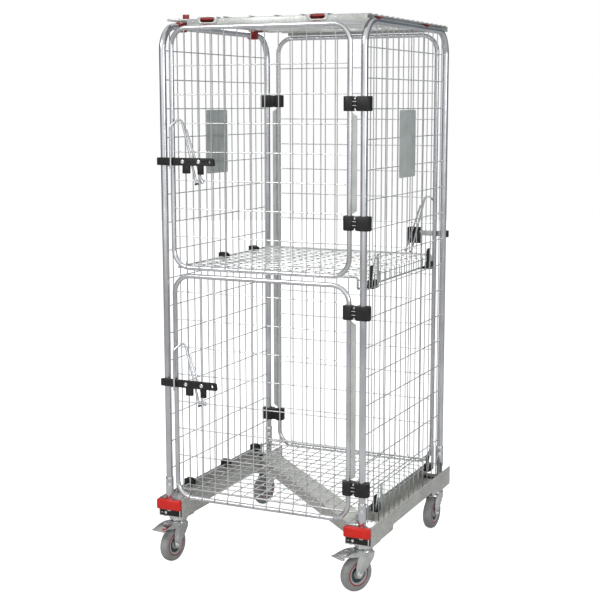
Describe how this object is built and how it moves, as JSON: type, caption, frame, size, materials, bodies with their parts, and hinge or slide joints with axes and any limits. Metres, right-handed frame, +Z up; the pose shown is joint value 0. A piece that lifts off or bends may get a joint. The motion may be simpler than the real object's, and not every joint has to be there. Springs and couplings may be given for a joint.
{
  "type": "roll cage container",
  "caption": "Wire mesh roll cage on swivel castors with stacked front doors, a hinged rear panel, a folding deck and shelf, and a lifting mesh roof.",
  "frame": {"origin": "on the floor, under the middle of the whole part's bounding box; the middle of the cage between its posts is 22.9 mm behind it", "axes": "+Z up, -Y to the front with the two doors, +X to the side where those doors are hinged"},
  "size_m": [0.84, 0.9287, 1.9645],
  "materials": {
    "zinc": "bright zinc plated, lightly worn",
    "galvanised": "galvanised sheet, dull",
    "label_grey": "satin grey-green paint",
    "black_plastic": "moulded, fine texture",
    "red_plastic": "moulded, satin",
    "dark_red": "moulded, satin",
    "tyre_grey": "smooth grey rubber"
  },
  "bodies": {
    "base": {"base_left_rail": "galvanised", "base_right_rail": "galvanised", "base_diagonal_beam": "galvanised", "bumper_front_left": "red_plastic", "bumper_front_right": "red_plastic", "left_side_panel": "zinc", "right_side_panel": "zinc", "label_plate_left": "label_grey", "label_plate_right": "label_grey", "deck_clip_front": "black_plastic", "deck_clip_middle": "black_plastic", "deck_clip_rear": "black_plastic", "shelf_clip_front": "black_plastic", "shelf_clip_rear": "black_plastic", "deck_support_front": "black_plastic", "deck_support_rear": "black_plastic", "shelf_support_front": "black_plastic", "shelf_support_rear": "black_plastic", "castor_front_left_plate": "zinc", "castor_front_right_plate": "zinc", "castor_rear_left_plate": "zinc", "castor_rear_right_plate": "zinc"},
    "castor_front_left": {"castor_front_left_fork": "zinc", "castor_front_left_axle": "zinc"},
    "wheel_front_left": {"castor_front_left_wheel": "tyre_grey"},
    "brake_front_left": {"castor_front_left_brake": "zinc"},
    "castor_front_right": {"castor_front_right_fork": "zinc", "castor_front_right_axle": "zinc"},
    "wheel_front_right": {"castor_front_right_wheel": "tyre_grey"},
    "brake_front_right": {"castor_front_right_brake": "zinc"},
    "castor_rear_left": {"castor_rear_left_fork": "zinc", "castor_rear_left_axle": "zinc"},
    "wheel_rear_left": {"castor_rear_left_wheel": "tyre_grey"},
    "castor_rear_right": {"castor_rear_right_fork": "zinc", "castor_rear_right_axle": "zinc"},
    "wheel_rear_right": {"castor_rear_right_wheel": "tyre_grey"},
    "upper_door_hinge": {"upper_door_clip_bottom": "black_plastic", "upper_door_clip_top": "black_plastic"},
    "upper_door": {"upper_door": "zinc", "upper_door_latch_bar": "black_plastic"},
    "upper_door_latch": {"upper_door_latch_rod": "zinc"},
    "lower_door_hinge": {"lower_door_clip_bottom": "black_plastic", "lower_door_clip_top": "black_plastic"},
    "lower_door": {"lower_door": "zinc", "lower_door_latch_bar": "black_plastic"},
    "lower_door_latch": {"lower_door_latch_rod": "zinc"},
    "rear_panel_hinge": {"rear_panel_clip_bottom": "black_plastic", "rear_panel_clip_top": "black_plastic"},
    "rear_panel": {"rear_panel": "zinc", "rear_panel_latch_bar": "black_plastic"},
    "rear_panel_latch": {"rear_panel_latch_rod": "zinc"},
    "deck": {"bottom_deck": "zinc"},
    "shelf": {"middle_shelf": "zinc"},
    "lid": {"roof_lid": "galvanised", "lid_hinge_front": "dark_red", "lid_hinge_rear": "dark_red", "lid_catch_front": "dark_red", "lid_catch_rear": "dark_red"}
  },
  "joints": [
    {"name": "front_left_swivel", "type": "hinge", "parent": "base", "child": "castor_front_left", "pos_m": [-0.371, -0.3421, 0.137], "axis": [0, 0, 1], "continuous": true},
    {"name": "front_left_spin", "type": "hinge", "parent": "castor_front_left", "child": "wheel_front_left", "pos_m": [-0.37587, -0.37676, 0.0625], "axis": [0.9903, -0.1392, 0], "continuous": true},
    {"name": "front_left_brake_press", "type": "hinge", "parent": "castor_front_left", "child": "brake_front_left", "pos_m": [-0.37406, -0.36389, 0.139], "axis": [0.9903, -0.1392, 0], "range_deg": [0, 8]},
    {"name": "front_right_swivel", "type": "hinge", "parent": "base", "child": "castor_front_right", "pos_m": [0.371, -0.3421, 0.137], "axis": [0, 0, 1], "continuous": true},
    {"name": "front_right_spin", "type": "hinge", "parent": "castor_front_right", "child": "wheel_front_right", "pos_m": [0.35403, -0.37271, 0.0625], "axis": [0.8746, -0.4848, 0], "continuous": true},
    {"name": "front_right_brake_press", "type": "hinge", "parent": "castor_front_right", "child": "brake_front_right", "pos_m": [0.36033, -0.36134, 0.139], "axis": [0.8746, -0.4848, 0], "range_deg": [0, 8]},
    {"name": "rear_left_swivel", "type": "hinge", "parent": "base", "child": "castor_rear_left", "pos_m": [-0.371, 0.4109, 0.137], "axis": [0, 0, 1], "continuous": true},
    {"name": "rear_left_spin", "type": "hinge", "parent": "castor_rear_left", "child": "wheel_rear_left", "pos_m": [-0.37708, 0.37643, 0.0625], "axis": [0.9848, -0.1736, 0], "continuous": true},
    {"name": "rear_right_swivel", "type": "hinge", "parent": "base", "child": "castor_rear_right", "pos_m": [0.371, 0.4109, 0.137], "axis": [0, 0, 1], "continuous": true},
    {"name": "rear_right_spin", "type": "hinge", "parent": "castor_rear_right", "child": "wheel_rear_right", "pos_m": [0.36917, 0.37595, 0.0625], "axis": [0.9986, -0.0523, 0], "continuous": true},
    {"name": "upper_door_post_hinge", "type": "hinge", "parent": "base", "child": "upper_door_hinge", "pos_m": [0.38, -0.3851, 1.096], "axis": [0, 0, 1], "range_deg": [0, 172]},
    {"name": "upper_door_swing", "type": "hinge", "parent": "upper_door_hinge", "child": "upper_door", "pos_m": [0.3285, -0.3851, 1.096], "axis": [0, 0, 1], "range_deg": [0, 90]},
    {"name": "upper_door_latch_turn", "type": "hinge", "parent": "upper_door", "child": "upper_door_latch", "pos_m": [-0.246, -0.3926, 1.39], "axis": [-0.2425, 0, 0.9701], "range_deg": [0, 90]},
    {"name": "lower_door_post_hinge", "type": "hinge", "parent": "base", "child": "lower_door_hinge", "pos_m": [0.38, -0.3851, 0.252], "axis": [0, 0, 1], "range_deg": [0, 172]},
    {"name": "lower_door_swing", "type": "hinge", "parent": "lower_door_hinge", "child": "lower_door", "pos_m": [0.3285, -0.3851, 0.252], "axis": [0, 0, 1], "range_deg": [0, 90]},
    {"name": "lower_door_latch_turn", "type": "hinge", "parent": "lower_door", "child": "lower_door_latch", "pos_m": [-0.246, -0.3926, 0.598], "axis": [-0.2425, 0, 0.9701], "range_deg": [0, 90]},
    {"name": "rear_panel_post_hinge", "type": "hinge", "parent": "base", "child": "rear_panel_hinge", "pos_m": [-0.38, 0.4309, 0.252], "axis": [0, 0, 1], "range_deg": [0, 172]},
    {"name": "rear_panel_swing", "type": "hinge", "parent": "rear_panel_hinge", "child": "rear_panel", "pos_m": [-0.3285, 0.4309, 0.252], "axis": [0, 0, 1], "range_deg": [0, 90]},
    {"name": "rear_panel_latch_turn", "type": "hinge", "parent": "rear_panel", "child": "rear_panel_latch", "pos_m": [0.246, 0.4384, 1.088], "axis": [0.2425, 0, 0.9701], "range_deg": [0, 90]},
    {"name": "deck_fold", "type": "hinge", "parent": "base", "child": "deck", "pos_m": [-0.352, 0.0229, 0.272], "axis": [0, -1, 0], "range_deg": [0, 88]},
    {"name": "shelf_fold", "type": "hinge", "parent": "base", "child": "shelf", "pos_m": [-0.352, 0.0229, 1.092], "axis": [0, -1, 0], "range_deg": [0, 88]},
    {"name": "lid_lift", "type": "hinge", "parent": "base", "child": "lid", "pos_m": [-0.38, 0.0229, 1.938], "axis": [0, -1, 0], "range_deg": [0, 105]}
  ]
}
